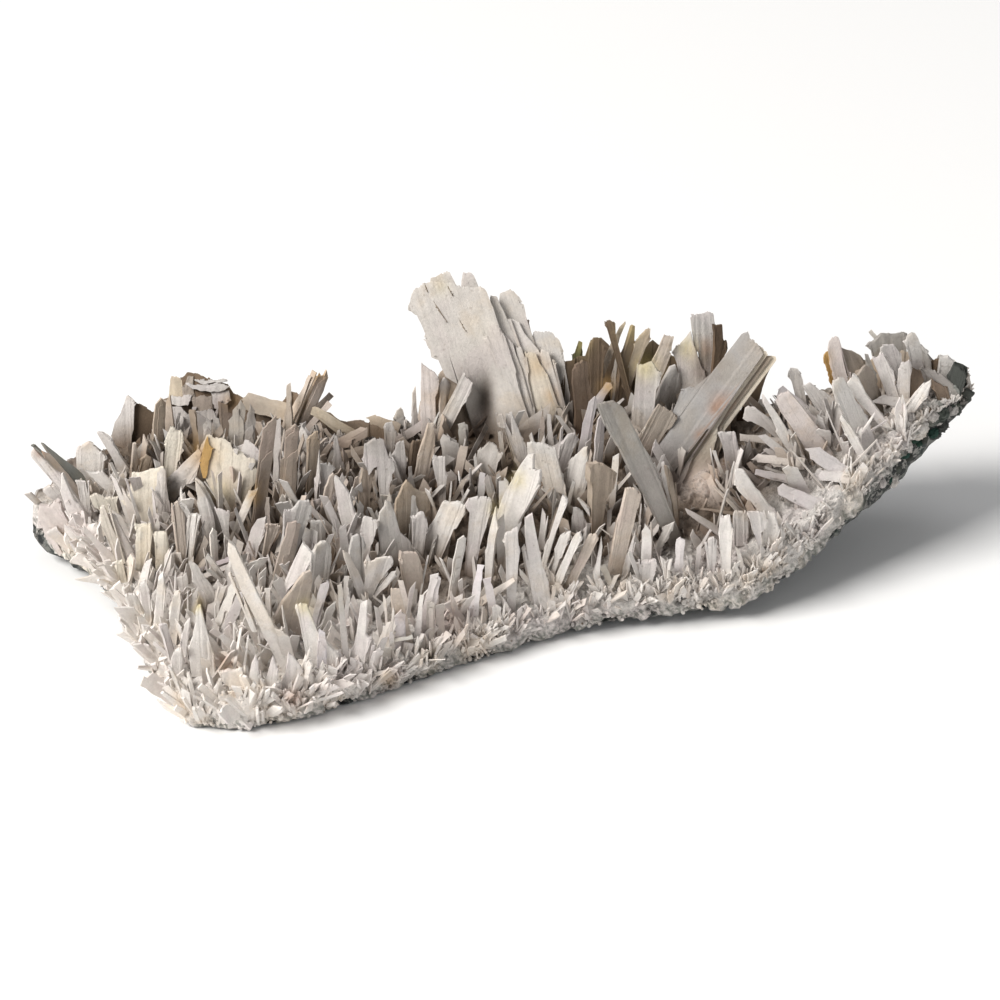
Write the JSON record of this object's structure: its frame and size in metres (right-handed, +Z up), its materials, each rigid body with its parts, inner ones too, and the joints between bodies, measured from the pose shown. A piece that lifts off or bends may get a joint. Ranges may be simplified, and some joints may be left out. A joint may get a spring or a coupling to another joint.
{
  "type": "quartz pseudomorph specimen",
  "caption": "Wide mineral specimen: a pale quartz crust bristling with thin flat blades and a tall fan of sheets, grown on a thin slab of dark green host rock.",
  "frame": {"origin": "a point in the flat underside of the host rock, below the middle of the specimen", "axes": "+X along the specimen from its low wide end to its raised narrow end, +Y from the display side to the back, +Z up from the face it rests on"},
  "size_m": [0.439, 0.223, 0.1211],
  "materials": {
    "quartz": "dull and finely granular, pale warm grey to lilac grey and cream, with a few rusty, ochre and yellow tips and specks",
    "host_rock": "rough broken rock, dark grey-green to black with blue-green patches"
  },
  "bodies": {
    "root": {"quartz_blades": "quartz", "host_rock": "host_rock"}
  },
  "joints": []
}
